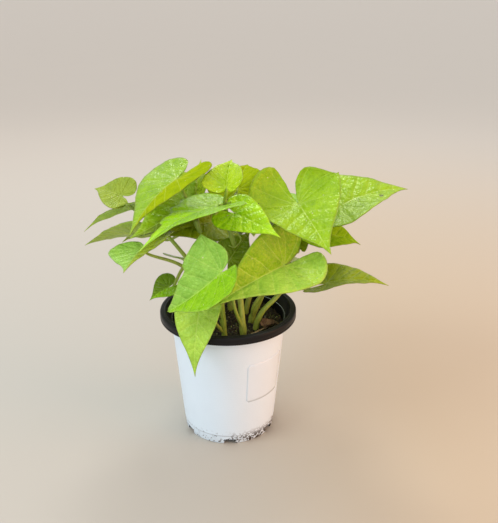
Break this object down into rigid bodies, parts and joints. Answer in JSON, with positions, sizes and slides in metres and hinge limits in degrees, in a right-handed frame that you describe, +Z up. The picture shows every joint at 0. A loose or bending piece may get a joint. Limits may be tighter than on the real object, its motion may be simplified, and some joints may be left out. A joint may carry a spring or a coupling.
{
  "type": "potted sweet potato vine",
  "caption": "Bushy trailing plant with heart-shaped lime leaves on long stalks, rooted in soil in a round tapered nursery pot with a rolled rim.",
  "frame": {"origin": "centre of the pot's flat foot, on the surface it stands on", "axes": "+Z up along the pot's axis, -Y towards the front, +X to the right seen from the front"},
  "size_m": [0.252, 0.1892, 0.2167],
  "materials": {
    "dry_leaf": "matte",
    "pot": "satin",
    "soil": "matte",
    "stem_back": "waxy",
    "stem_back_left": "waxy",
    "stem_back_right": "waxy",
    "stem_front": "waxy",
    "stem_front_right": "waxy",
    "stem_left_back": "waxy",
    "stem_left_high": "waxy",
    "stem_left_low": "waxy",
    "stem_right": "waxy",
    "stem_top": "waxy",
    "sticker": "satin"
  },
  "bodies": {
    "root": {"dry_leaf": "dry_leaf", "pot": "pot", "soil": "soil", "stem_back": "stem_back", "stem_back_left": "stem_back_left", "stem_back_right": "stem_back_right", "stem_front": "stem_front", "stem_front_right": "stem_front_right", "stem_left_back": "stem_left_back", "stem_left_high": "stem_left_high", "stem_left_low": "stem_left_low", "stem_right": "stem_right", "stem_top": "stem_top", "sticker": "sticker"}
  },
  "joints": []
}
